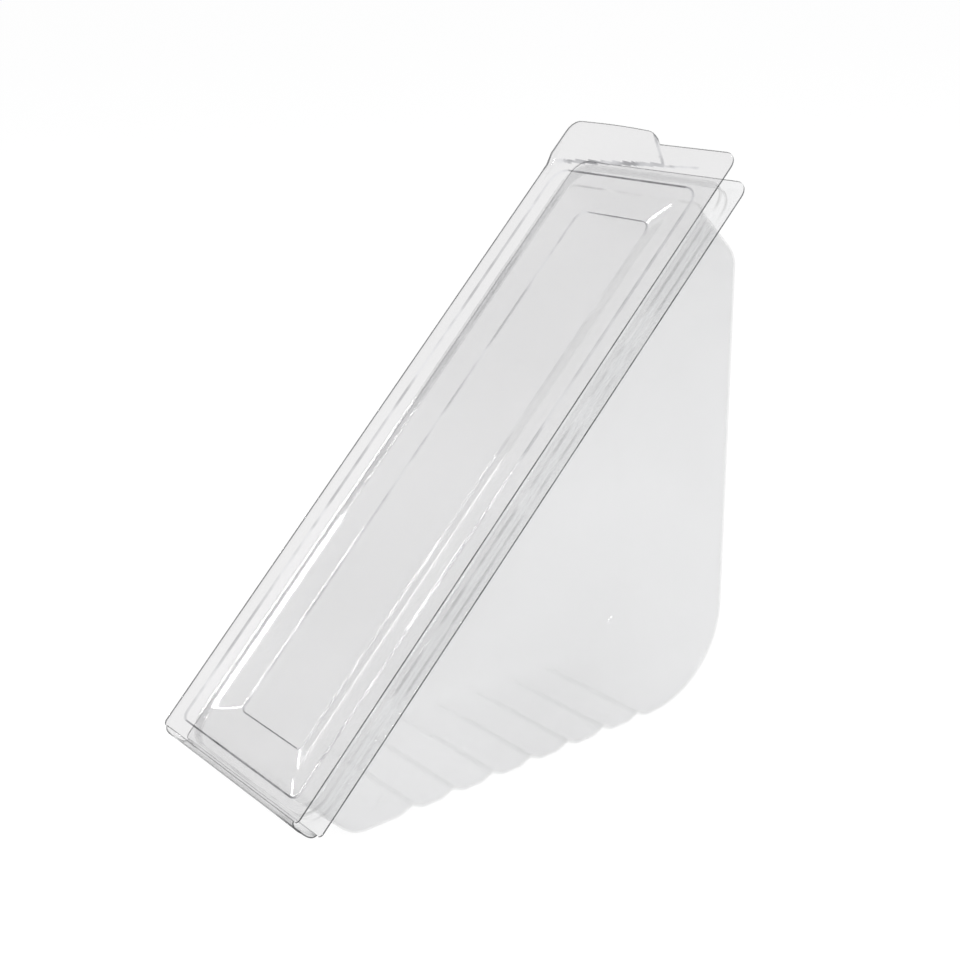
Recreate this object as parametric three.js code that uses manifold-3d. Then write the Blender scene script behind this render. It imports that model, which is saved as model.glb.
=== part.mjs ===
// Sandwich wedge pack: a hinged, see-through, thermoformed plastic pack for one cut sandwich.
//
// Millimetres, +Z up. The pack stands on its ribbed leg wall. X runs across its width, the
// back leg wall is upright at +Y, and the lid closes the long sloping side that faces -Y.
//
// Both sheets are first drawn in the frame of the sloping side:
//   x  across the width,
//   u  up the slope, from the hinge edge of the sheets (u = 0) to the opening end,
//   n  square to the slope and outward, with n = 0 on the top of the lid's flange.
// The closed pack is then pitched up about X and set down on its leg.

import * as THREE from "three";
import { mergeVertices } from "three/addons/utils/BufferGeometryUtils.js";
import Module from "manifold-3d";

const wasm = await Module();
wasm.setup();

// Driving dimensions.

const wall = 0.5; // sheet thickness
const pitch = 45; // slope of the closed lid above the resting leg, degrees
const lidLength = 185; // lid flange, hinge edge to opening end, without the tab
const baseLength = 182.5; // base flange, the same way; shorter, so that the tab stands clear
const sheetWidth = 63.4;
const sheetCornerRadius = 4.2; // the two corners of each flange at the opening end
const hingeCornerRadius = 1.2; // the two corners of each flange at the hinge end
const flangeGap = 7.8; // lid flange top down to base flange top

// Step that stands up from the base flange round the mouth
const stepSide = 2.4; // flange left outside the step, at the long sides
const stepFront = 0.7; // the same at the hinge end
const stepTop = 2.5; // the same at the opening end
const stepHeight = 2.8;

// Pocket
const mouthSide = 5.3; // sheet edge to the pocket's outer face, at the long sides
const mouthFront = 3.6;
const mouthTop = 9.7;
const endWall = 19.2; // short walls square to the slope, from the step's top to the legs
const draft = 2.8; // lean of the two triangular side walls, degrees
const sideEdgeRadius = 4.6; // leg walls into side walls
const endRadius = 8; // short end walls into leg walls
const cornerRadius = 26; // right-angled corner between the two legs

// Grooves that press ribs into the resting leg
const groovePitch = 12.15;
const grooveWidth = 8.4;
const grooveDepth = 1.35;
const firstGroove = 16.2; // front end of the leg to the middle of the first groove

// Small round dent low on each side wall, near the hinge end
const dentRadius = 4;
const dentDepth = 0.9;
const dentFromFront = 7; // along the leg from its front end
const dentFromLeg = 7.5; // above the leg

// Recess in the lid: a wide bevel falls to a narrow window panel
const recessSide = 4.7;
const recessFront = 3.5;
const recessTop = 10.9;
const recessRadius = 4.5;
const bevelSide = 14;
const bevelFront = 10.1;
const bevelTop = 9.6;
const panelDepth = 4;
const panelRadius = 3.2;
const bendLength = 1.1; // softened bend at the top and the foot of the bevel

// Lifting tab: a raised pad on part of the opening end that runs past the sheet's edge
const tabReach = 3.8; // past the sheet's edge
const tabCrease = 6.9; // pad's start, short of the sheet's edge
const tabTopWidth = 26.5;
const tabFootWidth = 36;
const tabRise = 0.9;
const tabCornerRadius = 4;

// Hinge: the sheet runs out of both flanges to a fold line halfway between them
const foldReach = 1.5;
const hingeWall = 0.4; // the sheet is drawn thinner where it folds
const foldBeadRadius = 0.3;
const foldClearance = 0.3;
const hingeEndRelief = 1.6; // the hinge strip stops this far inside the sheets at each side

// Smoothness
const cornerSteps = 8;
const edgeSteps = 5;
const grooveSteps = 10;

// Derived sizes.

const rad = Math.PI / 180;
const slope = pitch * rad;
const halfWidth = sheetWidth / 2;
const baseTop = -flangeGap;
const baseBottom = baseTop - wall;
const stepTopLevel = baseTop + stepHeight;
const foldLevel = baseBottom / 2; // halfway between the lid flange's top and the base flange's foot
const mouthHalf = halfWidth - mouthSide;
const mouthStart = mouthFront;
const mouthEnd = baseLength - mouthTop;
const legLevel = stepTopLevel - endWall;
const sideLean = Math.tan(draft * rad);

// Where the two legs meet: the resting leg falls at the pitch, the other at 90 degrees to it
const legSpan = mouthEnd - mouthStart;
const legLength = legSpan * Math.cos(slope);
const legDirection = new THREE.Vector2(Math.cos(slope), -Math.sin(slope));
const legNormal = new THREE.Vector2(Math.sin(slope), Math.cos(slope));
const legStart = new THREE.Vector2(mouthStart, legLevel);
const legCorner = legStart.clone().addScaledVector(legDirection, legLength);

// Joining and cutting.

function toSolid(geometry) {
  const bare = geometry.clone();
  bare.deleteAttribute("normal");
  bare.deleteAttribute("uv");
  const merged = mergeVertices(bare, 1e-4);
  return new wasm.Manifold(
    new wasm.Mesh({
      numProp: 3,
      vertProperties: new Float32Array(merged.attributes.position.array),
      triVerts: new Uint32Array(merged.index.array),
    }),
  );
}

function toGeometry(solid) {
  const mesh = solid.getMesh();
  const geometry = new THREE.BufferGeometry();
  geometry.setAttribute("position", new THREE.BufferAttribute(mesh.vertProperties, 3));
  geometry.setIndex(new THREE.BufferAttribute(mesh.triVerts, 1));
  const faceted = geometry.toNonIndexed();
  faceted.computeVertexNormals();
  return faceted;
}

// Shapes.

// Rectangle with its own radius at the hinge end and at the opening end
function roundedRectangle(left, right, low, high, lowRadius, highRadius) {
  const shape = new THREE.Shape();
  shape.moveTo(left, low + lowRadius);
  shape.absarc(left + lowRadius, low + lowRadius, lowRadius, Math.PI, 1.5 * Math.PI, false);
  shape.absarc(right - lowRadius, low + lowRadius, lowRadius, -0.5 * Math.PI, 0, false);
  shape.absarc(right - highRadius, high - highRadius, highRadius, 0, 0.5 * Math.PI, false);
  shape.absarc(left + highRadius, high - highRadius, highRadius, 0.5 * Math.PI, Math.PI, false);
  shape.closePath();
  return shape;
}

// Plate drawn in x and u, filling n from bottom to top
function plate(shape, bottom, top) {
  const options = { depth: top - bottom, bevelEnabled: false, curveSegments: cornerSteps };
  const geometry = new THREE.ExtrudeGeometry(shape, options);
  geometry.translate(0, 0, bottom);
  return toSolid(geometry);
}

// Bar whose section is drawn in u and n, centred across the width
function barAcross(shape, width) {
  const options = { depth: width, bevelEnabled: false, curveSegments: 12 };
  const geometry = new THREE.ExtrudeGeometry(shape, options);
  geometry.translate(0, 0, -width / 2);
  const turn = new THREE.Matrix4().makeBasis(
    new THREE.Vector3(0, 1, 0),
    new THREE.Vector3(0, 0, 1),
    new THREE.Vector3(1, 0, 0),
  );
  geometry.applyMatrix4(turn);
  return toSolid(geometry);
}

// Section of a straight strip of sheet between two points of its middle line
function stripSection(from, to) {
  const along = to.clone().sub(from).normalize();
  const across = new THREE.Vector2(-along.y, along.x).multiplyScalar(hingeWall / 2);
  const corners = [
    from.clone().sub(across),
    to.clone().sub(across),
    to.clone().add(across),
    from.clone().add(across),
  ];
  return new THREE.Shape(corners);
}

// Closed skin through rings of points; every ring has the same number of points
function loftSolid(rings, flatten) {
  const count = rings[0].length;
  const positions = rings.flat().flatMap((point) => [point.x, point.y, point.z]);
  const index = [];
  for (let ring = 0; ring < rings.length - 1; ring += 1) {
    for (let i = 0; i < count; i += 1) {
      const a = ring * count + i;
      const b = ring * count + ((i + 1) % count);
      index.push(a, b, b + count, a, b + count, a + count);
    }
  }
  const last = (rings.length - 1) * count;
  const firstFace = THREE.ShapeUtils.triangulateShape(rings[0].map(flatten), []);
  for (const [a, b, c] of firstFace) {
    index.push(c, b, a);
  }
  const lastFace = THREE.ShapeUtils.triangulateShape(rings[rings.length - 1].map(flatten), []);
  for (const [a, b, c] of lastFace) {
    index.push(last + a, last + b, last + c);
  }
  const geometry = new THREE.BufferGeometry();
  geometry.setAttribute("position", new THREE.Float32BufferAttribute(positions, 3));
  geometry.setIndex(index);
  return toSolid(geometry);
}

// Pocket.

// Height of the groove pattern at a distance along the resting leg
function grooveHeight(distance) {
  const last = legLength - cornerRadius - grooveWidth / 2;
  for (let middle = firstGroove; middle <= last; middle += groovePitch) {
    const offset = Math.abs(distance - middle);
    if (offset < grooveWidth / 2) {
      return grooveDepth * Math.cos((Math.PI * offset) / grooveWidth) ** 2;
    }
  }
  return 0;
}

// Distances along the resting leg where the section needs points
function grooveStations() {
  const stations = [];
  const last = legLength - cornerRadius - grooveWidth / 2;
  for (let middle = firstGroove; middle <= last; middle += groovePitch) {
    for (let step = 0; step <= grooveSteps; step += 1) {
      stations.push(middle + grooveWidth * (step / grooveSteps - 0.5));
    }
  }
  return stations;
}

// Points round one rounded corner of the section, each with the inward normal
function cornerPoints(corner, radius, startAngle, endAngle, steps) {
  const half = (endAngle - startAngle) / 2;
  const toCentre = (startAngle + endAngle) / 2;
  const centre = corner.clone();
  centre.x -= (radius / Math.cos(half)) * Math.cos(toCentre);
  centre.y -= (radius / Math.cos(half)) * Math.sin(toCentre);
  const points = [];
  for (let step = 0; step <= steps; step += 1) {
    const angle = startAngle + ((endAngle - startAngle) * step) / steps;
    const outward = new THREE.Vector2(Math.cos(angle), Math.sin(angle));
    points.push({
      point: centre.clone().addScaledVector(outward, radius),
      inward: outward.clone().negate(),
      groove: 0,
    });
  }
  return points;
}

// Lengthwise section of the pocket in u and n, open side up, as smooth points with normals.
// The angles are those of the outward normals: hinge end wall, resting leg, upright leg and
// opening end wall.
function pocketSection(topLevel) {
  const restingNormal = 1.5 * Math.PI - slope;
  const uprightNormal = 2 * Math.PI - slope;
  const section = [];
  section.push({
    point: new THREE.Vector2(mouthStart, topLevel),
    inward: new THREE.Vector2(1, 0),
    groove: 0,
  });
  section.push(...cornerPoints(legStart, endRadius, Math.PI, restingNormal, edgeSteps));
  for (const distance of grooveStations()) {
    section.push({
      point: legStart.clone().addScaledVector(legDirection, distance),
      inward: legNormal.clone(),
      groove: grooveHeight(distance),
    });
  }
  section.push(
    ...cornerPoints(legCorner, cornerRadius, restingNormal, uprightNormal, 2 * cornerSteps),
  );
  const uprightEnd = new THREE.Vector2(mouthEnd, legLevel);
  section.push(...cornerPoints(uprightEnd, endRadius, uprightNormal, 2 * Math.PI, edgeSteps));
  section.push({
    point: new THREE.Vector2(mouthEnd, topLevel),
    inward: new THREE.Vector2(-1, 0),
    groove: 0,
  });
  return section;
}

// The section carried across the width: its edges roll over into the two leaning side walls.
// inset is the distance inside the pocket's outer face.
function pocketSolid(topLevel, inset) {
  const section = pocketSection(topLevel);
  const radius = sideEdgeRadius - inset;
  const rings = [];
  for (const side of [-1, 1]) {
    for (let step = 0; step <= edgeSteps; step += 1) {
      const share = side < 0 ? edgeSteps - step : step;
      const angle = (0.5 * Math.PI * share) / edgeSteps;
      const inward = inset + radius * (1 - Math.cos(angle));
      const ring = section.map((entry) => {
        const at = entry.point.clone().addScaledVector(entry.inward, inward + entry.groove);
        const wallX = mouthHalf - inset - (stepTopLevel - at.y) * sideLean;
        const x = side * (wallX - radius + radius * Math.sin(angle));
        return new THREE.Vector3(x, at.x, at.y);
      });
      rings.push(ring);
    }
  }
  return loftSolid(rings, (point) => new THREE.Vector2(point.y, point.z));
}

// Ball that presses the small dent into one side wall; the inner face uses a larger one
function dentBall(side, extra) {
  const at = legStart
    .clone()
    .addScaledVector(legDirection, dentFromFront)
    .addScaledVector(legNormal, dentFromLeg);
  const wallX = mouthHalf - (stepTopLevel - at.y) * sideLean;
  const geometry = new THREE.SphereGeometry(dentRadius + extra, 24, 16);
  geometry.rotateZ(Math.PI / 2);
  geometry.translate(side * (wallX + dentRadius - dentDepth), at.x, at.y);
  return toSolid(geometry);
}

// Base: flange, step, pocket and its half of the hinge, one formed sheet.

function baseGeometry() {
  const stepRadius = sideEdgeRadius + mouthSide - stepSide;
  const flange = roundedRectangle(
    -halfWidth, halfWidth, 0, baseLength, hingeCornerRadius, sheetCornerRadius,
  );
  const stepOuter = roundedRectangle(
    -halfWidth + stepSide, halfWidth - stepSide,
    stepFront, baseLength - stepTop, stepRadius, stepRadius,
  );
  const stepHollow = roundedRectangle(
    -halfWidth + stepSide + wall, halfWidth - stepSide - wall,
    stepFront + wall, baseLength - stepTop - wall, stepRadius - wall, stepRadius - wall,
  );
  const foldLine = new THREE.Vector2(-foldReach, foldLevel);
  const strip = stripSection(new THREE.Vector2(wall / 2, baseTop - wall / 2), foldLine);
  const bead = new THREE.Shape();
  bead.absarc(foldLine.x, foldLine.y, foldBeadRadius, 0, 2 * Math.PI, false);
  const hingeWidth = sheetWidth - 2 * hingeEndRelief;

  let pocket = pocketSolid(stepTopLevel, 0);
  let hollow = pocketSolid(flangeGap, wall);
  for (const side of [-1, 1]) {
    pocket = pocket.subtract(dentBall(side, 0));
    hollow = hollow.subtract(dentBall(side, wall));
  }
  const sheet = plate(flange, baseBottom, baseTop)
    .add(plate(stepOuter, baseBottom, stepTopLevel))
    .subtract(plate(stepHollow, baseBottom - wall, stepTopLevel - wall))
    .add(pocket)
    .subtract(hollow)
    .add(barAcross(strip, hingeWidth))
    .add(barAcross(bead, hingeWidth));
  return toGeometry(sheet);
}

// Lid: flange with recess, lifting tab and its half of the hinge, one formed sheet.

// One ring of the recess: share 0 is the edge in the flange, share 1 the panel's edge
function recessRing(share, level) {
  const left = -halfWidth + recessSide + bevelSide * share;
  const right = -left;
  const low = recessFront + bevelFront * share;
  const high = lidLength - recessTop - bevelTop * share;
  const radius = recessRadius + (panelRadius - recessRadius) * share;
  const outline = roundedRectangle(left, right, low, high, radius, radius);
  const points = outline.getPoints(cornerSteps);
  const unique = points.filter(
    (point, i) => point.distanceTo(points[(i + 1) % points.length]) > 1e-6,
  );
  return unique.map((point) => new THREE.Vector3(point.x, point.y, level));
}

// Recess as a closed block, lowered by drop, that reaches up to topLevel.
// The bevel bends softly at both ends, along a parabola of the bend length.
function recessSolid(topLevel, drop) {
  const bend = bendLength / bevelSide;
  const straight = 1 / (1 - bend);
  const fall = (share) => {
    if (share < bend) {
      return (straight * share * share) / (2 * bend);
    }
    if (share > 1 - bend) {
      return 1 - (straight * (1 - share) * (1 - share)) / (2 * bend);
    }
    return straight * (share - bend / 2);
  };
  const shares = [1, 1 - bend / 3, 1 - (2 * bend) / 3, 1 - bend];
  shares.push(bend, (2 * bend) / 3, bend / 3, 0);
  const rings = shares.map((share) => recessRing(share, -panelDepth * fall(share) - drop));
  rings.push(recessRing(0, topLevel));
  return loftSolid(rings, (point) => new THREE.Vector2(point.x, point.y));
}

// Outline of the tab's pad, with its left side on the sheet's edge. inset shrinks it.
function tabShape(inset) {
  const left = -halfWidth + inset;
  const low = lidLength - tabCrease + inset;
  const high = lidLength + tabReach - inset;
  const lean = (tabFootWidth - tabTopWidth) / (tabCrease + tabReach);
  const radius = tabCornerRadius - inset;
  const foot = -halfWidth + tabFootWidth - inset * (lean + Math.hypot(1, lean));
  const top = foot - lean * (high - low);
  const shape = new THREE.Shape();
  shape.moveTo(left, low);
  shape.lineTo(foot, low);
  shape.lineTo(top + lean * radius * 0.5, high - radius * 0.5);
  shape.quadraticCurveTo(top, high, top - radius * 0.7, high);
  shape.lineTo(left + radius, high);
  shape.absarc(left + radius, high - radius, radius, 0.5 * Math.PI, Math.PI, false);
  shape.closePath();
  return shape;
}

function lidGeometry() {
  const flange = roundedRectangle(
    -halfWidth, halfWidth, 0, lidLength, hingeCornerRadius, sheetCornerRadius,
  );
  const foldLine = new THREE.Vector2(-foldReach, foldLevel);
  const edge = new THREE.Vector2(wall / 2, -wall / 2);
  const stop = edge.clone().sub(foldLine).setLength(foldBeadRadius + foldClearance);
  const strip = stripSection(edge, foldLine.clone().add(stop));
  const hingeWidth = sheetWidth - 2 * hingeEndRelief;
  const steepest = Math.atan2(panelDepth, Math.min(bevelSide, bevelFront, bevelTop));
  const drop = wall / Math.cos(steepest);

  const sheet = plate(flange, -wall, 0)
    .add(plate(tabShape(0), -wall, tabRise))
    .subtract(plate(tabShape(wall), -2 * wall, tabRise - wall))
    .add(recessSolid(0, drop))
    .subtract(recessSolid(flangeGap, 0))
    .add(barAcross(strip, hingeWidth));
  return toGeometry(sheet);
}

// The closed pack.

function clearSheet(opacity) {
  return new THREE.MeshStandardMaterial({
    color: 0xe6e9ea,
    roughness: 0.12,
    metalness: 0,
    transparent: true,
    opacity,
    side: THREE.DoubleSide,
    flatShading: true,
  });
}

const baseTray = new THREE.Mesh(baseGeometry(), clearSheet(0.35));
baseTray.name = "base_tray";

const lid = new THREE.Mesh(lidGeometry(), clearSheet(0.3));
lid.name = "lid";

const closedPack = new THREE.Group();
closedPack.rotation.x = slope;
closedPack.add(baseTray, lid);

// Stand the pack on its leg, with the origin under the middle of its outer box
const pack = new THREE.Group();
pack.add(closedPack);
pack.updateMatrixWorld(true);
const box = new THREE.Box3().setFromObject(pack, true);
closedPack.position.set(
  -(box.min.x + box.max.x) / 2,
  -(box.min.y + box.max.y) / 2,
  -box.min.z,
);

export default pack;
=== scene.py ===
"""Looks of the sandwich wedge pack: a clear, hinged, thermoformed sheet.

The two sheets are drawn as middle surfaces in the frame of the sloping side, in millimetres:
x across the width, u up the slope from the hinge edge, n square to the slope and outward.
A solidify modifier gives them their thickness, and row_point() sets them in the part's frame.
"""

import math

import bpy
from mathutils import Matrix, Vector


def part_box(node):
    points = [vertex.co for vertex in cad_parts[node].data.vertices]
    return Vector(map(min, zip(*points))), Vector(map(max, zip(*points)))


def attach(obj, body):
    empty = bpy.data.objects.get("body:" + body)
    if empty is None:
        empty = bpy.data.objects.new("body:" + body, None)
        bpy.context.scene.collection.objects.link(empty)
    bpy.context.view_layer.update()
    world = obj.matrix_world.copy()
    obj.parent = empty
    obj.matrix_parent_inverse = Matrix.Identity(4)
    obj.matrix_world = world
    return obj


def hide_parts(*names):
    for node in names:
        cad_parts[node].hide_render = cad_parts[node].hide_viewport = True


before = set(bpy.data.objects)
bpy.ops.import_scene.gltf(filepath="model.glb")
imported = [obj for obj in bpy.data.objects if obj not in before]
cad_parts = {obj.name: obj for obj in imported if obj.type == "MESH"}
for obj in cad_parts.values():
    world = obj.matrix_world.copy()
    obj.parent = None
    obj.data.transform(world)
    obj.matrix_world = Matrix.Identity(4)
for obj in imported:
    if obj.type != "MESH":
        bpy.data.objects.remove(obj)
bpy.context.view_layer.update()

# Sizes of the pack in millimetres, as in the part. Only the tab, the recess's and the panel's
# radii at the hinge end and the bevel's bulge are drawn here as the photograph shows them.
WALL = 0.5
PITCH = math.radians(45)
LID_LENGTH = 185
BASE_LENGTH = 182.5
HALF_WIDTH = 63.4 / 2
SHEET_CORNER = 4.2
HINGE_CORNER = 1.2
FLANGE_GAP = 7.8
STEP_SIDE = 2.4
STEP_FRONT = 0.7
STEP_TOP = 2.5
STEP_HEIGHT = 2.8
MOUTH_SIDE = 5.3
MOUTH_FRONT = 3.6
MOUTH_TOP = 9.7
END_WALL = 19.2
DRAFT = math.radians(2.8)
SIDE_EDGE_RADIUS = 4.6
END_RADIUS = 8
CORNER_RADIUS = 26
GROOVE_PITCH = 12.15
GROOVE_WIDTH = 8.4
GROOVE_DEPTH = 1.35
FIRST_GROOVE = 16.2
DENT_RADIUS = 4
DENT_DEPTH = 0.9
DENT_FROM_FRONT = 7
DENT_FROM_LEG = 7.5
DENT_MOUTH = math.sqrt(2 * DENT_RADIUS * DENT_DEPTH - DENT_DEPTH**2)
RECESS_SIDE = 4.7
RECESS_FRONT = 3.5
RECESS_TOP = 10.9
RECESS_RADIUS = 4.5
RECESS_LOW_RADIUS = 2.2
BEVEL_SIDE = 14
BEVEL_FRONT = 10.1
BEVEL_TOP = 9.6
PANEL_DEPTH = 4
PANEL_RADIUS = 3.2
PANEL_LOW_RADIUS = 1.4
BEND_LENGTH = 1.1
BEVEL_BULGE = 0.22
TAB_REACH = 3.8
TAB_CREASE = 6.9
TAB_TOP_WIDTH = 31.5
TAB_FOOT_WIDTH = 43.4
TAB_RISE = 0.9
TAB_CORNER = 3.2
TAB_BLEND = 2.2
CREASE_WIDTH = 0.9
CREASE_SLANT = 0.074
CREASE_MIDDLE = 5
# The thin line of painted shade along the tab's crease: where it starts and ends across the pack,
# its rise above the crease and its half width
SHADE_LINE_START = -HALF_WIDTH + 3
SHADE_LINE_END = 22
SHADE_LINE_RISE = 0.3
SHADE_LINE_HALF = 0.22
TAB_SIDE_LIMIT = 20
FOLD_REACH = 1.5
FOLD_CLEARANCE = 0.3
HINGE_END_RELIEF = 1.6

# The tab's top edge starts to fall away here, by this much for each square millimetre
TAB_FALL_START = -22
TAB_FALL = 0.0018

# Share of the bevel's width that each of its two soft bends takes
BEND = BEND_LENGTH / BEVEL_SIDE

# Radii of the bends at the pocket's mouth and at the step's top and foot
MOUTH_BEND = 0.6
STEP_BEND = 0.5
FOOT_BEND = 0.35

# How far the step's wall leans out toward its foot
FOOT_OFFSET = 0.05

# Places of the base flange's loops, as shares of the way from the step's foot to the edge
FLANGE_SHARES = (0.3, 0.6, 0.85, 1)

# Section of a hinge strip: its reach over the flange, how far out and how far off the flange
# it bends, and how far from the fold line's level it ends
STRIP_OVERLAP = 0.2
STRIP_BEND_OUT = 1.4
STRIP_BEND_LIFT = 0.3
STRIP_END_GAP = 0.25

# Where the tab's crease gets painted shade, as shares of the pad's rise
CREASE_SHADE_FROM = 0.12
CREASE_SHADE_TO = 0.88

# A lid face runs across the pack where its first two points differ in u by less than this
LEVEL_TOLERANCE = 0.02

# Sheet thickness as drawn, and the middle levels of the formed surfaces
SHEET = 0.42
HINGE_SHEET = 0.34
HALF = WALL / 2
BASE_FLANGE = -FLANGE_GAP - HALF
STEP_LEVEL = BASE_FLANGE + STEP_HEIGHT
MOUTH_LEVEL = STEP_LEVEL - MOUTH_BEND
LEG_LEVEL = -FLANGE_GAP + STEP_HEIGHT - END_WALL
FOLD_LEVEL = -(FLANGE_GAP + WALL) / 2
ROLLED_EDGE = SIDE_EDGE_RADIUS - HALF
LEG_LENGTH = (BASE_LENGTH - MOUTH_TOP - MOUTH_FRONT) * math.cos(PITCH)
TAB_LEAN = (TAB_FOOT_WIDTH - TAB_TOP_WIDTH) / (TAB_CREASE + TAB_REACH)

# Directions in the sloping frame: along the resting leg from its front end, and up from it
ALONG_LEG = (math.cos(PITCH), -math.sin(PITCH))
OFF_LEG = (math.sin(PITCH), math.cos(PITCH))

# How finely the forms are drawn: steps of corners, bends and arcs, and of the loops' sides
CORNER_STEPS = 12
BASE_SIDE_STEPS = 40
BASE_END_STEPS = 1
BASE_BEND_STEPS = 5
LID_SIDE_STEPS = 60
LID_END_STEPS = 150
LID_FLANGE_STEPS = 40
LID_BEND_STEPS = 6
BEVEL_STEPS = 12
GROOVE_STEPS = 16
END_ARC_STEPS = 10
CORNER_ARC_STEPS = 28
DENT_STEPS = 7
DENT_POINTS = 24
STRIP_COLUMNS = 9

# Material slots of a sheet: the film comes first and the cut edge, in painted shade, last; between
# them the films with painted shade along folds
FOLD_SHADE_SLOT = 1
END_SHADE_SLOT = 2

# The lid's front edge is the pack's front, and the resting leg lies on the floor
LID_FRONT_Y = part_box("lid")[0][1] * 1000
LID_FRONT_Z = -(MOUTH_FRONT + LEG_LEVEL) * math.sin(PITCH)


def row_point(x, u, n):
    """A point of the sloping frame in millimetres, as a point of the part's frame in metres."""
    y = LID_FRONT_Y + u * math.cos(PITCH) - n * math.sin(PITCH)
    z = LID_FRONT_Z + u * math.sin(PITCH) + n * math.cos(PITCH)
    return Vector((x, y, z)) / 1000


def rounded_loop(half, low, high, low_radius, high_radius, sides, ends):
    """Points round a rectangle, from the low left corner along the low end, then anticlockwise."""
    centres = [
        (-half + low_radius, low + low_radius, low_radius, math.pi),
        (half - low_radius, low + low_radius, low_radius, 1.5 * math.pi),
        (half - high_radius, high - high_radius, high_radius, 0),
        (-half + high_radius, high - high_radius, high_radius, 0.5 * math.pi),
    ]
    corners = []
    for cx, cy, radius, start in centres:
        arc = []
        for step in range(CORNER_STEPS + 1):
            angle = start + 0.5 * math.pi * step / CORNER_STEPS
            arc.append((cx + radius * math.cos(angle), cy + radius * math.sin(angle)))
        corners.append(arc)
    loop = []
    for i, arc in enumerate(corners):
        loop += arc
        following = corners[(i + 1) % 4][0]
        count = ends if i % 2 == 0 else sides
        loop += [point_between(arc[-1], following, step / count) for step in range(1, count)]
    return loop


def point_between(first, second, share):
    """The point at a share of the way from one point to another."""
    return tuple(a + (b - a) * share for a, b in zip(first, second))


def between(first, second, share):
    """The loop at a share of the way from one loop to another with as many points."""
    return [point_between(a, b, share) for a, b in zip(first, second)]


def add_points(points, new_points):
    """Adds the points and gives back their numbers."""
    numbers = list(range(len(points), len(points) + len(new_points)))
    points += new_points
    return numbers


def bridge(faces, first, second):
    """Quads between two closed loops of as many points."""
    count = len(first)
    for i in range(count):
        j = (i + 1) % count
        faces.append((first[i], first[j], second[j], second[i]))


def make_object(name, points, faces, fold_shade_faces, body, materials, thickness=SHEET):
    """A sheet with its thickness; fold_shade_faces gives some faces their material, a film with
    painted shade, and rims get the last, the cut edge in painted shade.
    """
    mesh = bpy.data.meshes.new(name)
    mesh.from_pydata([row_point(*p) for p in points], [], faces)
    for material in materials:
        mesh.materials.append(material)
    for i, slot in fold_shade_faces.items():
        mesh.polygons[i].material_index = slot
    obj = bpy.data.objects.new(name, mesh)
    bpy.context.scene.collection.objects.link(obj)
    for polygon in mesh.polygons:
        polygon.use_smooth = True
    solidify = obj.modifiers.new("sheet", "SOLIDIFY")
    solidify.thickness = thickness / 1000
    solidify.offset = 0
    solidify.use_even_offset = True
    # The rims get the last material: the cut edge's painted shade
    solidify.material_offset_rim = len(materials) - 1
    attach(obj, body)
    return obj


# Pocket


def groove_middles():
    """Distances of the grooves' middles from the resting leg's front end."""
    middle = FIRST_GROOVE
    while middle <= LEG_LENGTH - CORNER_RADIUS - GROOVE_WIDTH / 2:
        yield middle
        middle += GROOVE_PITCH


def corner_arc(corner, radius, start, end, steps):
    """A fillet in a corner of the section, as points with their inward normals."""
    half = (end - start) / 2
    aim = (start + end) / 2
    cx = corner[0] - radius / math.cos(half) * math.cos(aim)
    cy = corner[1] - radius / math.cos(half) * math.sin(aim)
    for step in range(steps + 1):
        angle = start + (end - start) * step / steps
        out = (math.cos(angle), math.sin(angle))
        yield (cx + radius * out[0], cy + radius * out[1]), (-out[0], -out[1]), 0


def pocket_section():
    """Lengthwise section of the pocket's outer face: points, inward normals, groove heights."""
    end = BASE_LENGTH - MOUTH_TOP
    corner = (MOUTH_FRONT, LEG_LEVEL)
    apex = (MOUTH_FRONT + ALONG_LEG[0] * LEG_LENGTH, LEG_LEVEL + ALONG_LEG[1] * LEG_LENGTH)
    resting, upright = 1.5 * math.pi - PITCH, 2 * math.pi - PITCH
    section = [((MOUTH_FRONT, MOUTH_LEVEL), (1, 0), 0)]
    section += corner_arc(corner, END_RADIUS, math.pi, resting, END_ARC_STEPS)
    for middle in groove_middles():
        for step in range(GROOVE_STEPS + 1):
            offset = GROOVE_WIDTH * (step / GROOVE_STEPS - 0.5)
            height = GROOVE_DEPTH * math.cos(math.pi * offset / GROOVE_WIDTH) ** 2
            distance = middle + offset
            at = (corner[0] + ALONG_LEG[0] * distance, corner[1] + ALONG_LEG[1] * distance)
            section.append((at, OFF_LEG, height))
    section += corner_arc(apex, CORNER_RADIUS, resting, upright, CORNER_ARC_STEPS)
    section += corner_arc((end, LEG_LEVEL), END_RADIUS, upright, 2 * math.pi, END_ARC_STEPS)
    section.append(((end, MOUTH_LEVEL), (-1, 0), 0))
    return section


def side_wall_x(n):
    """Distance of the leaning side walls from the middle plane at a level."""
    return HALF_WIDTH - MOUTH_SIDE - HALF - (MOUTH_LEVEL - n) * math.tan(DRAFT)


def pocket_rings(points, faces):
    """The pocket without its side walls: rings from one rolled side edge to the other."""
    section = pocket_section()
    rings = []
    for side in (-1, 1):
        for step in range(CORNER_STEPS + 1):
            share = CORNER_STEPS - step if side < 0 else step
            angle = 0.5 * math.pi * share / CORNER_STEPS
            ring = []
            for (u, n), inward, groove in section:
                depth = HALF + ROLLED_EDGE * (1 - math.cos(angle)) + groove
                pu, pn = u + inward[0] * depth, n + inward[1] * depth
                x = side_wall_x(pn) - ROLLED_EDGE + ROLLED_EDGE * math.sin(angle)
                ring.append((side * x, pu, pn))
            rings.append(add_points(points, ring))
    for first, second in zip(rings, rings[1:]):
        for i in range(len(section) - 1):
            faces.append((first[i], first[i + 1], second[i + 1], second[i]))
    return rings


def wall_top_edge(points, ring):
    """Points along a side wall's top edge, from the hinge end to the opening end."""
    start, end = points[ring[0]], points[ring[-1]]
    shares = [step / BASE_SIDE_STEPS for step in range(1, BASE_SIDE_STEPS)]
    return add_points(points, [point_between(start, end, share) for share in shares])


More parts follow.
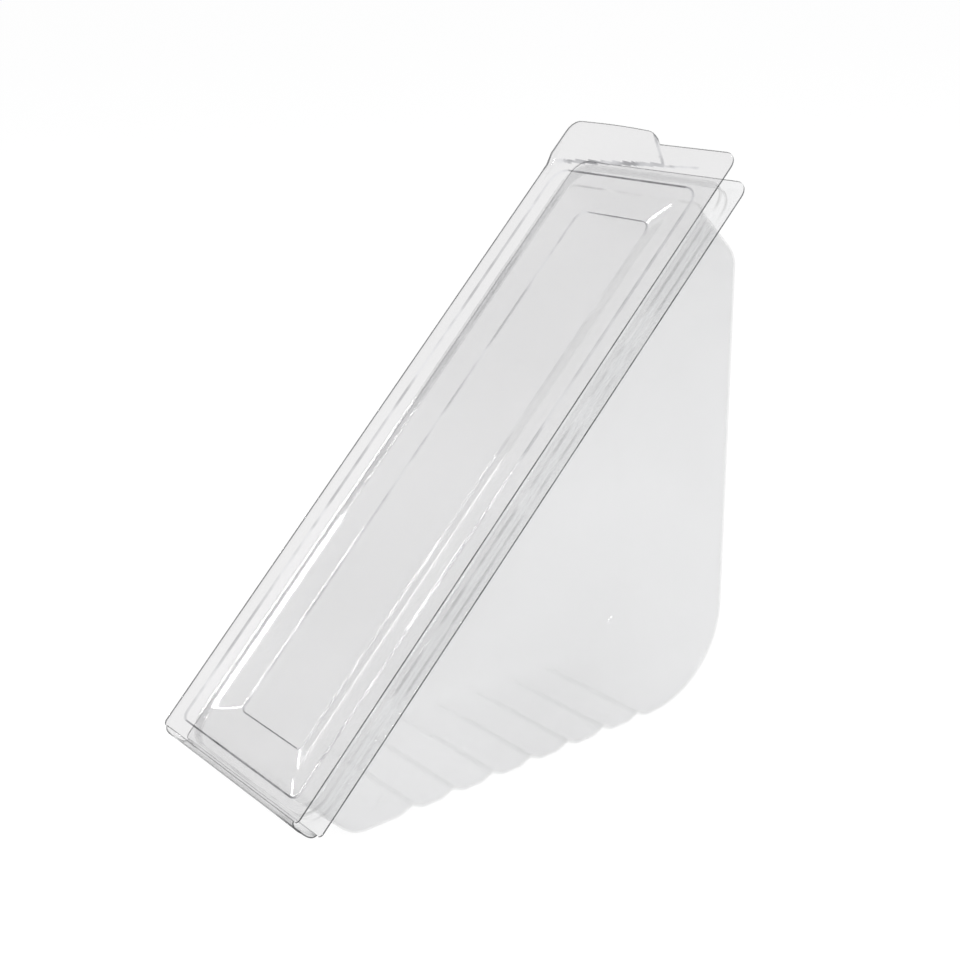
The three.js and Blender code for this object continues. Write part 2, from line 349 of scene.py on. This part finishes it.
def add_side_wall(points, faces, side, border):
    """A flat side wall inside its border, with a small round dent low near the hinge end."""
    dent_u = MOUTH_FRONT + ALONG_LEG[0] * DENT_FROM_FRONT + OFF_LEG[0] * DENT_FROM_LEG
    dent_n = LEG_LEVEL + ALONG_LEG[1] * DENT_FROM_FRONT + OFF_LEG[1] * DENT_FROM_LEG
    toward_leg = math.atan2(-OFF_LEG[1], -OFF_LEG[0])

    def bearing(number):
        """Direction in which a point of the border lies from the dent's middle."""
        return math.atan2(points[number][2] - dent_n, points[number][1] - dent_u)

    def turned(angle):
        """The same angle between minus and plus half a turn."""
        return (angle + math.pi) % (2 * math.pi) - math.pi

    circles, dent_faces = [], []
    for step in range(DENT_STEPS):
        reach = DENT_MOUTH * (1 - step / DENT_STEPS)
        sink = math.sqrt(DENT_RADIUS**2 - reach**2) - (DENT_RADIUS - DENT_DEPTH)
        circle = []
        for i in range(DENT_POINTS):
            turn = toward_leg + 2 * math.pi * i / DENT_POINTS
            u = dent_u + reach * math.cos(turn)
            n = dent_n + reach * math.sin(turn)
            circle.append((side * (side_wall_x(n) - sink), u, n))
        circles.append(add_points(points, circle))
    for first, second in zip(circles, circles[1:]):
        bridge(dent_faces, first, second)
    dent_faces.append(tuple(circles[-1]))

    # Two more faces leave the dent's circle open, cut apart below the dent and above it
    cuts = []
    for aim in (toward_leg, toward_leg + math.pi):
        misses = [abs(turned(bearing(number) - aim)) for number in border]
        cuts.append(misses.index(min(misses)))
    near, far = cuts
    loop = border + border
    whole = len(border)
    first = loop[near : far + 1] if far > near else loop[near : far + 1 + whole]
    second = loop[far : near + 1] if near > far else loop[far : near + 1 + whole]
    rim = circles[0] + circles[0]
    half = DENT_POINTS // 2
    over, under = rim[: half + 1], rim[half : DENT_POINTS + 1]
    swept = sum(turned(bearing(b) - bearing(a)) for a, b in zip(first, first[1:]))
    if swept > 0:
        dent_faces += [tuple(first + over[::-1]), tuple(second + under[::-1])]
    else:
        dent_faces += [tuple(first + under), tuple(second + over)]
    faces += [face if side > 0 else face[::-1] for face in dent_faces]


def mouth_loop(offset):
    """The pocket's mouth, widened all round by an offset."""
    radius = ROLLED_EDGE + offset
    return rounded_loop(
        HALF_WIDTH - MOUTH_SIDE - HALF + offset,
        MOUTH_FRONT + HALF - offset,
        BASE_LENGTH - MOUTH_TOP - HALF + offset,
        radius,
        radius,
        BASE_SIDE_STEPS,
        BASE_END_STEPS,
    )


def step_loop(offset):
    """The step's outline, widened all round by an offset."""
    radius = SIDE_EDGE_RADIUS + MOUTH_SIDE - STEP_SIDE - HALF + offset
    return rounded_loop(
        HALF_WIDTH - STEP_SIDE - HALF + offset,
        STEP_FRONT + HALF - offset,
        BASE_LENGTH - STEP_TOP - HALF + offset,
        radius,
        radius,
        BASE_SIDE_STEPS,
        BASE_END_STEPS,
    )


def rim_loops():
    """Loops from the mouth to the flange's edge: each with its level, and if the faces ending
    there get a fold's painted shade.
    """
    outline = rounded_loop(
        HALF_WIDTH, 0, BASE_LENGTH, HINGE_CORNER, SHEET_CORNER, BASE_SIDE_STEPS, BASE_END_STEPS
    )

    # The fold's painted shade, a darker film, covers the last steps of each bend, and all of the
    # foot's
    loops = []
    angles = [0.5 * math.pi * step / BASE_BEND_STEPS for step in range(BASE_BEND_STEPS + 1)]
    for step, angle in enumerate(angles[1:], 1):
        offset = MOUTH_BEND * (1 - math.cos(angle))
        loops.append((mouth_loop(offset), MOUTH_LEVEL + MOUTH_BEND * math.sin(angle), step > 2))
    step_top = between(mouth_loop(MOUTH_BEND), step_loop(-STEP_BEND), 0.5)
    loops.append((step_top, STEP_LEVEL, False))
    for step, angle in enumerate(angles):
        offset = -STEP_BEND * (1 - math.sin(angle))
        level = STEP_LEVEL - STEP_BEND * (1 - math.cos(angle))
        loops.append((step_loop(offset), level, step > 1))
    for step, angle in enumerate(angles):
        offset = FOOT_OFFSET + FOOT_BEND * (1 - math.cos(angle))
        level = BASE_FLANGE + FOOT_BEND * (1 - math.sin(angle))
        loops.append((step_loop(offset), level, step > 0))
    foot = step_loop(FOOT_OFFSET + FOOT_BEND)
    for share in FLANGE_SHARES:
        loops.append((between(foot, outline, share), BASE_FLANGE, False))
    return loops


def base_points_and_faces():
    """The whole base sheet as one surface: pocket, step and flange."""
    points, faces, fold_shade_faces = [], [], {}
    rings = pocket_rings(points, faces)
    right_edge = wall_top_edge(points, rings[-1])
    left_edge = wall_top_edge(points, rings[0])
    add_side_wall(points, faces, 1, rings[-1] + right_edge[::-1])
    add_side_wall(points, faces, -1, rings[0] + left_edge[::-1])

    # Mouth, in the order of rounded_loop
    previous = [ring[0] for ring in rings] + right_edge
    previous += [ring[-1] for ring in rings[::-1]] + left_edge[::-1]
    for loop, level, fold in rim_loops():
        current = add_points(points, [(x, u, level) for x, u in loop])
        first_face = len(faces)
        bridge(faces, previous, current)
        # Faces that end at a fold's loop get the film with painted shade
        if fold:
            fold_shade_faces.update((i, FOLD_SHADE_SLOT) for i in range(first_face, len(faces)))
        previous = current
    return points, faces, fold_shade_faces


# Lid


def tab_edge(x):
    """How far up the slope the lid's sheet reaches at x, with the tab's rounded outline."""
    left = -HALF_WIDTH
    top = LID_LENGTH + TAB_REACH - TAB_FALL * max(0, x - TAB_FALL_START) ** 2
    slant = LID_LENGTH + TAB_REACH - (x - left - TAB_TOP_WIDTH) / TAB_LEAN
    inside = min(top, slant)
    gap = abs(top - slant)
    if gap < TAB_BLEND:
        inside -= (TAB_BLEND - gap) ** 2 / (4 * TAB_BLEND)
    if x < left + TAB_CORNER:
        rest = max(0.0, TAB_CORNER**2 - (left + TAB_CORNER - x) ** 2)
        inside = min(inside, top - TAB_CORNER + math.sqrt(rest))
    return max(LID_LENGTH, inside)


def crease_level(x):
    """Where the slanting crease at the tab's foot lies at x, up the slope."""
    return LID_LENGTH - TAB_CREASE + CREASE_SLANT * (x - CREASE_MIDDLE)


def tab_height(x, u):
    """Rise of the tab's pad above the flange, with soft creases along its foot and its side."""
    side_x = -HALF_WIDTH + TAB_FOOT_WIDTH - TAB_LEAN * (u - (LID_LENGTH - TAB_CREASE))
    side = (side_x - x) / math.hypot(1, TAB_LEAN)
    inside = min(u - crease_level(x), side)
    share = min(1, max(0, inside / CREASE_WIDTH))
    return TAB_RISE * share * share * (3 - 2 * share)


def in_crease_shade(x, u):
    """Whether a face of the lid's flange gets painted shade: on the tab's creased foot or side, or
    on a thin line along the crease.
    """
    if CREASE_SHADE_FROM * TAB_RISE < tab_height(x, u) < CREASE_SHADE_TO * TAB_RISE:
        return True
    on_shade_line = abs(u - crease_level(x) - SHADE_LINE_RISE) < SHADE_LINE_HALF
    return SHADE_LINE_START < x < SHADE_LINE_END and on_shade_line


def recess_fall(share):
    """Share of the recess depth reached at a share of the bevel: soft bends, a slight bulge."""
    straight = 1 / (1 - BEND)
    if share < BEND:
        fall = straight * share * share / (2 * BEND)
    elif share > 1 - BEND:
        fall = 1 - straight * (1 - share) ** 2 / (2 * BEND)
    else:
        fall = straight * (share - BEND / 2)
    return fall - BEVEL_BULGE / PANEL_DEPTH * math.sin(math.pi * share) ** 2


def recess_loop(share):
    """Loop at a share of the bevel, from the recess's edge at 0 to the panel's edge at 1."""
    return rounded_loop(
        HALF_WIDTH - RECESS_SIDE - BEVEL_SIDE * share,
        RECESS_FRONT + BEVEL_FRONT * share,
        LID_LENGTH - RECESS_TOP - BEVEL_TOP * share,
        RECESS_LOW_RADIUS + (PANEL_LOW_RADIUS - RECESS_LOW_RADIUS) * share,
        RECESS_RADIUS + (PANEL_RADIUS - RECESS_RADIUS) * share,
        LID_SIDE_STEPS,
        LID_END_STEPS,
    )


def lid_outline():
    """Outline of the lid's sheet, with part of its opening end drawn out into the tab."""
    loop = rounded_loop(
        HALF_WIDTH, 0, LID_LENGTH, HINGE_CORNER, SHEET_CORNER, LID_SIDE_STEPS, LID_END_STEPS
    )
    margin = 0.01
    rounding = 1e-6
    corner_start = LID_LENGTH - SHEET_CORNER - margin
    left = -HALF_WIDTH + rounding
    outline = []
    for x, u in loop:
        reach = tab_edge(x)
        if u > corner_start and x < TAB_SIDE_LIMIT and reach > LID_LENGTH:
            u = reach if x >= left else LID_LENGTH + TAB_REACH - TAB_CORNER
        outline.append((x, u))
    return outline


def lid_loops():
    """Loops from the lid's edge to its panel: each with its level, and if the faces ending there
    get a fold's painted shade.
    """
    outline, recess_edge = lid_outline(), recess_loop(0)
    loops = []
    for step in range(LID_FLANGE_STEPS):
        loops.append((between(outline, recess_edge, step / LID_FLANGE_STEPS), 0, False))
    # Shares of the bevel, each with whether its faces get a fold's painted shade: the middle steps
    # of each bend
    shares = []
    for step in range(LID_BEND_STEPS + 1):
        shares.append((BEND * step / LID_BEND_STEPS, 1 < step < 5))
    for step in range(1, BEVEL_STEPS):
        shares.append((BEND + (1 - 2 * BEND) * step / BEVEL_STEPS, False))
    for step in range(LID_BEND_STEPS + 1):
        shares.append((1 - BEND + BEND * step / LID_BEND_STEPS, 2 < step < 5))
    for share, fold in shares:
        loops.append((recess_loop(share), -PANEL_DEPTH * recess_fall(share), fold))
    return loops


def lid_points_and_faces():
    """The whole lid sheet as one surface: flange with its tab, bevel and panel."""
    points, faces, fold_shade_faces = [], [], {}
    previous = None
    for number, (loop, level, fold) in enumerate(lid_loops()):
        sheet = [(x, u, level - HALF + tab_height(x, u)) for x, u in loop]
        current = add_points(points, sheet)
        if previous:
            first_face = len(faces)
            bridge(faces, previous, current)
            for i in range(first_face, len(faces)):
                corners = [points[k] for k in faces[i]]
                x = sum(corner[0] for corner in corners) / 4
                u = sum(corner[1] for corner in corners) / 4
                across_end = abs(corners[0][1] - corners[1][1]) < LEVEL_TOLERANCE
                # Faces on a bend get a fold's painted shade, darker where they run across an end;
                # faces on the tab's crease get painted shade too
                if fold:
                    fold_shade_faces[i] = END_SHADE_SLOT if across_end else FOLD_SHADE_SLOT
                elif number < LID_FLANGE_STEPS and in_crease_shade(x, u):
                    fold_shade_faces[i] = FOLD_SHADE_SLOT
        previous = current
    faces.append(tuple(previous))
    return points, faces, fold_shade_faces


# Hinge strips


def curve(start, control, end, steps=10):
    """A curved section in u and n, from start to end, pulled toward the control point."""
    section = []
    for step in range(steps + 1):
        t = step / steps
        section.append(
            tuple(
                (1 - t) ** 2 * a + 2 * t * (1 - t) * b + t * t * c
                for a, b, c in zip(start, control, end)
            )
        )
    return section


def strip(section):
    """A section in u and n, carried across the pack's width."""
    half = HALF_WIDTH - HINGE_END_RELIEF
    points, faces = [], []
    for column in range(STRIP_COLUMNS):
        x = -half + 2 * half * column / (STRIP_COLUMNS - 1)
        points += [(x, u, n) for u, n in section]
    size = len(section)
    for column in range(STRIP_COLUMNS - 1):
        for i in range(size - 1):
            a = column * size + i
            faces.append((a, a + 1, a + size + 1, a + size))
    return points, faces, {}


def hinge_curve(flange_level, toward_fold):
    """From a flange to just short of the fold line, clear of the other strip at 180 degrees."""
    start = (STRIP_OVERLAP, flange_level)
    control = (-STRIP_BEND_OUT, flange_level + STRIP_BEND_LIFT * toward_fold)
    end = (-FOLD_REACH + FOLD_CLEARANCE, FOLD_LEVEL - STRIP_END_GAP * toward_fold)
    return curve(start, control, end)


# Materials


def empty_material(name):
    """A material without nodes, with its node and link lists."""
    material = bpy.data.materials.new(name)
    material.use_nodes = True
    nodes, links = material.node_tree.nodes, material.node_tree.links
    nodes.clear()
    return material, nodes, links


def noise(nodes, links, coordinates, scale, detail=2):
    """Noise that stays with the object, from 0 to 1."""
    texture = nodes.new("ShaderNodeTexNoise")
    texture.inputs["Scale"].default_value = scale
    texture.inputs["Detail"].default_value = detail
    links.new(coordinates.outputs["Object"], texture.inputs["Vector"])
    return texture.outputs["Fac"]


def tone_ramp(nodes, links, factor, low, high):
    """Two tones over a factor; low and high are each a position and a tone."""
    ramp = nodes.new("ShaderNodeValToRGB")
    for element, (position, tone) in zip(ramp.color_ramp.elements, (low, high)):
        element.position = position
        element.color = (*tone, 1)
    links.new(factor, ramp.inputs["Fac"])
    return ramp.outputs["Color"]


def power_of(nodes, links, value, exponent):
    """A linked value raised to a constant power."""
    power = nodes.new("ShaderNodeMath")
    power.operation = "POWER"
    power.inputs[1].default_value = exponent
    links.new(value, power.inputs[0])
    return power.outputs["Value"]


def mixed(nodes, links, first, second):
    """A mix of two shaders, whose factor is still to be set."""
    mix = nodes.new("ShaderNodeMixShader")
    links.new(first, mix.inputs[1])
    links.new(second, mix.inputs[2])
    return mix


def clear_sheet(name, face_tone, grazing_shade, haze, shade_streaks=None):
    """Clear plastic film: see-through, with painted shade, a darker tone, where the view crosses
    it at a low angle.

    With shade_streaks, a second tone, the face tone wanders between the two, as painted shade
    along a fold.
    """
    material, nodes, links = empty_material(name)
    output = nodes.new("ShaderNodeOutputMaterial")
    coordinates = nodes.new("ShaderNodeTexCoord")

    bump = nodes.new("ShaderNodeBump")
    bump.inputs["Strength"].default_value = 0.035
    bump.inputs["Distance"].default_value = 0.0005
    links.new(noise(nodes, links, coordinates, 28), bump.inputs["Height"])

    roughness = nodes.new("ShaderNodeMapRange")
    roughness.inputs["From Min"].default_value = 0.3
    roughness.inputs["From Max"].default_value = 0.7
    roughness.inputs["To Min"].default_value = 0.03
    roughness.inputs["To Max"].default_value = 0.09
    links.new(noise(nodes, links, coordinates, 900, 3), roughness.inputs["Value"])

    # Patches of slightly dimmer film; with shade_streaks, streaks of a fold's painted shade
    patches = noise(nodes, links, coordinates, 90 if shade_streaks else 14)
    dim_and_shade_tone = shade_streaks or tuple(0.985 * v for v in face_tone)
    shades = tone_ramp(nodes, links, patches, (0.38, dim_and_shade_tone), (0.62, face_tone))

    # Painted shade where the view grazes the film: the tone turns toward grazing_shade
    weight = nodes.new("ShaderNodeLayerWeight")
    weight.inputs["Blend"].default_value = 0.5
    facing = weight.outputs["Facing"]
    tone = nodes.new("ShaderNodeMix")
    tone.data_type = "RGBA"
    tone.inputs["B"].default_value = (*grazing_shade, 1)
    links.new(shades, tone.inputs["A"])
    links.new(power_of(nodes, links, facing, 6), tone.inputs["Factor"])

    see_through = nodes.new("ShaderNodeBsdfTransparent")
    links.new(tone.outputs["Result"], see_through.inputs["Color"])
    milk = nodes.new("ShaderNodeBsdfDiffuse")
    milk.inputs["Color"].default_value = (0.86, 0.87, 0.88, 1)
    cloudy = mixed(nodes, links, see_through.outputs["BSDF"], milk.outputs["BSDF"])
    cloudy.inputs["Fac"].default_value = haze

    # Reflection of a film in air, the same from both sides: 4 percent, and more at a low angle
    shine = nodes.new("ShaderNodeBsdfGlossy")
    shine.inputs["Color"].default_value = (1, 1, 1, 1)
    links.new(roughness.outputs["Result"], shine.inputs["Roughness"])
    links.new(bump.outputs["Normal"], shine.inputs["Normal"])
    reflection = nodes.new("ShaderNodeMath")
    reflection.operation = "MULTIPLY_ADD"
    reflection.inputs[1].default_value = 0.8
    reflection.inputs[2].default_value = 0.04
    links.new(power_of(nodes, links, facing, 5), reflection.inputs[0])
    surface = mixed(nodes, links, cloudy.outputs["Shader"], shine.outputs["BSDF"])
    links.new(reflection.outputs["Value"], surface.inputs["Fac"])
    links.new(surface.outputs["Shader"], output.inputs["Surface"])
    return material


def cut_edge_shade(name):
    """The die-cut edge of the film, where light inside the sheet comes out dark grey: painted
    shade, streaked.
    """
    material, nodes, links = empty_material(name)
    output = nodes.new("ShaderNodeOutputMaterial")
    coordinates = nodes.new("ShaderNodeTexCoord")
    shade_streaks = noise(nodes, links, coordinates, 120)
    dark, light = (0.03, 0.032, 0.034), (0.16, 0.165, 0.17)
    body = nodes.new("ShaderNodeBsdfPrincipled")
    body.inputs["Roughness"].default_value = 0.25
    shades = tone_ramp(nodes, links, shade_streaks, (0.35, dark), (0.7, light))
    links.new(shades, body.inputs["Base Color"])
    see_through = nodes.new("ShaderNodeBsdfTransparent")
    mix = mixed(nodes, links, see_through.outputs["BSDF"], body.outputs["BSDF"])
    mix.inputs["Fac"].default_value = 0.9
    links.new(mix.outputs["Shader"], output.inputs["Surface"])
    return material


FILM_HAZE = 0.05
FOLD_HAZE = 0.02

base_film = clear_sheet("base_film", (0.94, 0.94, 0.941), (0.85, 0.85, 0.85), FILM_HAZE)
# Films of the bends and creases: the clear film darkened with painted shade, darkest on the bends
# across the lid's ends
base_fold_shade = clear_sheet(
    "base_fold_shade", (0.95, 0.95, 0.95), (0.5, 0.51, 0.52), FOLD_HAZE, shade_streaks=(0.78, 0.78, 0.78)
)
lid_film = clear_sheet("lid_film", (0.9, 0.897, 0.898), (0.65, 0.65, 0.65), FILM_HAZE)
lid_fold_shade = clear_sheet(
    "lid_fold_shade", (0.86, 0.86, 0.87), (0.3, 0.31, 0.32), FOLD_HAZE, shade_streaks=(0.58, 0.58, 0.59)
)
end_fold_shade = clear_sheet(
    "end_fold_shade", (0.62, 0.62, 0.63), (0.25, 0.26, 0.27), FOLD_HAZE, shade_streaks=(0.36, 0.36, 0.37)
)
# The cut edge, drawn dark grey in painted shade
edge_shade_film = cut_edge_shade("cut_edge_shade")
base_materials = [base_film, base_fold_shade, edge_shade_film]
lid_materials = [lid_film, lid_fold_shade, end_fold_shade, edge_shade_film]

# Pieces
base = make_object("base_sheet", *base_points_and_faces(), "base", base_materials)
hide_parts("base_tray")

lid = make_object("lid_sheet", *lid_points_and_faces(), "lid_body", lid_materials)
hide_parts("lid")

lower = strip(hinge_curve(BASE_FLANGE, 1))
hinge_lower = make_object("hinge_lower", *lower, "base", base_materials, HINGE_SHEET)
upper = strip(hinge_curve(-HALF, -1))
hinge_upper = make_object("hinge_upper", *upper, "lid_body", lid_materials, HINGE_SHEET)


# Stage, with the sizes and distances of its lights in metres and their powers in watts

FLOOR_SIZE = 60
PACK_MIDDLE = Vector((0, 0, 0.06))
SLOPE_AXIS = (0, 0.7071, 0.7071)
KEY_DIRECTION = (0.9, -0.75, 1.25)
GLARE_DISTANCE = 1.2

# Narrow soft boxes for the glare on the lid: name, direction, size across and along, power
GLARES = (
    ("glare_left", (-0.378, -0.648, 0.6575), 0.045, 0.22, 1.1),
    ("glare_right", (-0.87, -0.299, 0.371), 0.035, 0.38, 1.5),
    ("glare_low", (-0.966, -0.1, 0.235), 0.06, 0.1, 0.3),
)

# Camera: angles in degrees, lengths in millimetres, focal length in pixels of the photograph
CAMERA_AZIMUTH = 53.75
CAMERA_ELEVATION = 18.13
CAMERA_ROLL = -1.75
CAMERA_DISTANCE = 401.97
CAMERA_SHIFT_RIGHT = 8.6
CAMERA_SHIFT_DOWN = 8.25
CAMERA_AIM = 65
FOCAL_PIXELS = 1670.84
PHOTO_PIXELS = 960
SENSOR_WIDTH = 36


def seen_directly(nodes, links):
    """1 where the camera, a reflection or a transmission looks at this, 0 where it lights."""
    path = nodes.new("ShaderNodeLightPath")
    total = path.outputs["Is Camera Ray"]
    for name in ("Is Glossy Ray", "Is Transmission Ray"):
        add = nodes.new("ShaderNodeMath")
        add.operation = "ADD"
        add.use_clamp = True
        links.new(total, add.inputs[0])
        links.new(path.outputs[name], add.inputs[1])
        total = add.outputs["Value"]
    return total


def plain_floor():
    """Pale paper that keeps the pack's shadow, mixed with a glow where it is seen."""
    bpy.ops.mesh.primitive_plane_add(size=FLOOR_SIZE, location=(0, 0, 0))
    floor = bpy.context.object
    floor.name = "floor"
    material = bpy.data.materials.new("floor_paper")
    material.use_nodes = True
    nodes, links = material.node_tree.nodes, material.node_tree.links
    surface = nodes["Principled BSDF"]
    surface.inputs["Roughness"].default_value = 0.9
    surface.inputs["Specular IOR Level"].default_value = 0
    speckle = nodes.new("ShaderNodeTexNoise")
    speckle.inputs["Scale"].default_value = 60
    pale, paler = (0.9, 0.9, 0.9), (0.93, 0.93, 0.93)
    paper = tone_ramp(nodes, links, speckle.outputs["Fac"], (0, pale), (1, paler))
    links.new(paper, surface.inputs["Base Color"])
    glow = nodes.new("ShaderNodeEmission")
    glow.inputs["Color"].default_value = (1, 1, 1, 1)
    glow.inputs["Strength"].default_value = 1.06
    share = nodes.new("ShaderNodeMath")
    share.operation = "MULTIPLY"
    share.inputs[1].default_value = 0.86
    links.new(seen_directly(nodes, links), share.inputs[0])
    white = mixed(nodes, links, surface.outputs["BSDF"], glow.outputs["Emission"])
    links.new(share.outputs["Value"], white.inputs["Fac"])
    links.new(white.outputs["Shader"], nodes["Material Output"].inputs["Surface"])
    floor.data.materials.append(material)


def white_surroundings():
    """White where it is seen, straight or in a reflection, and a greyer studio as a light."""
    world = bpy.data.worlds.new("studio")
    bpy.context.scene.world = world
    world.use_nodes = True
    nodes, links = world.node_tree.nodes, world.node_tree.links
    nodes.clear()
    output = nodes.new("ShaderNodeOutputWorld")
    white = nodes.new("ShaderNodeBackground")
    white.inputs["Color"].default_value = (1, 1, 1, 1)
    white.inputs["Strength"].default_value = 1
    studio = nodes.new("ShaderNodeBackground")
    studio.inputs["Color"].default_value = (0.72, 0.72, 0.73, 1)
    studio.inputs["Strength"].default_value = 0.8
    mix = mixed(nodes, links, studio.outputs["Background"], white.outputs["Background"])
    links.new(seen_directly(nodes, links), mix.inputs["Fac"])
    links.new(mix.outputs["Shader"], output.inputs["Surface"])


def area_light(name, toward, distance, across, along, power):
    """A soft box that faces the pack's middle, with its long side near the slope's direction."""
    light = bpy.data.lights.new(name, "AREA")
    light.shape = "RECTANGLE"
    light.size = across
    light.size_y = along
    light.energy = power
    back = Vector(toward).normalized()
    right = Vector(SLOPE_AXIS).cross(back).normalized()
    rotation = Matrix((right, back.cross(right), back)).transposed()
    obj = bpy.data.objects.new(name, light)
    place = Matrix.Translation(PACK_MIDDLE + back * distance)
    obj.matrix_world = place @ rotation.to_4x4()
    bpy.context.scene.collection.objects.link(obj)
    return obj


def photo_camera():
    """A camera from a fit to the photograph's straight edges, to go with the width used here."""
    angles = (CAMERA_AZIMUTH, CAMERA_ELEVATION, CAMERA_ROLL)
    azimuth, elevation, roll = (math.radians(angle) for angle in angles)
    level = math.cos(elevation)
    back = Vector(
        (math.sin(azimuth) * level, -math.cos(azimuth) * level, math.sin(elevation))
    )
    right = Vector((math.cos(azimuth), math.sin(azimuth), 0))
    up = back.cross(right)
    turned_right = right * math.cos(roll) + up * math.sin(roll)
    turned_up = up * math.cos(roll) - right * math.sin(roll)
    aim = Vector((0, LID_FRONT_Y + CAMERA_AIM, LID_FRONT_Z + CAMERA_AIM))
    target = aim + turned_right * CAMERA_SHIFT_RIGHT - turned_up * CAMERA_SHIFT_DOWN
    place = (target + back * CAMERA_DISTANCE) / 1000
    camera = bpy.data.cameras.new("photo_camera")
    camera.sensor_width = SENSOR_WIDTH
    camera.lens = FOCAL_PIXELS / PHOTO_PIXELS * SENSOR_WIDTH
    camera.clip_start = 0.01
    camera.clip_end = 50
    obj = bpy.data.objects.new("photo_camera", camera)
    rotation = Matrix((turned_right, turned_up, back)).transposed()
    obj.matrix_world = Matrix.Translation(place) @ rotation.to_4x4()
    bpy.context.scene.collection.objects.link(obj)
    bpy.context.scene.camera = obj


plain_floor()
white_surroundings()
photo_camera()

# The key light is left out of reflections, where it would put a hard glint on the low corner
key = area_light("key", KEY_DIRECTION, distance=1.7, across=0.8, along=0.8, power=22)
key.visible_glossy = False
for name, toward, across, along, power in GLARES:
    area_light(name, toward, GLARE_DISTANCE, across, along, power)

bpy.context.scene.cycles.transparent_max_bounces = 32
bpy.context.scene.view_settings.view_transform = "Standard"
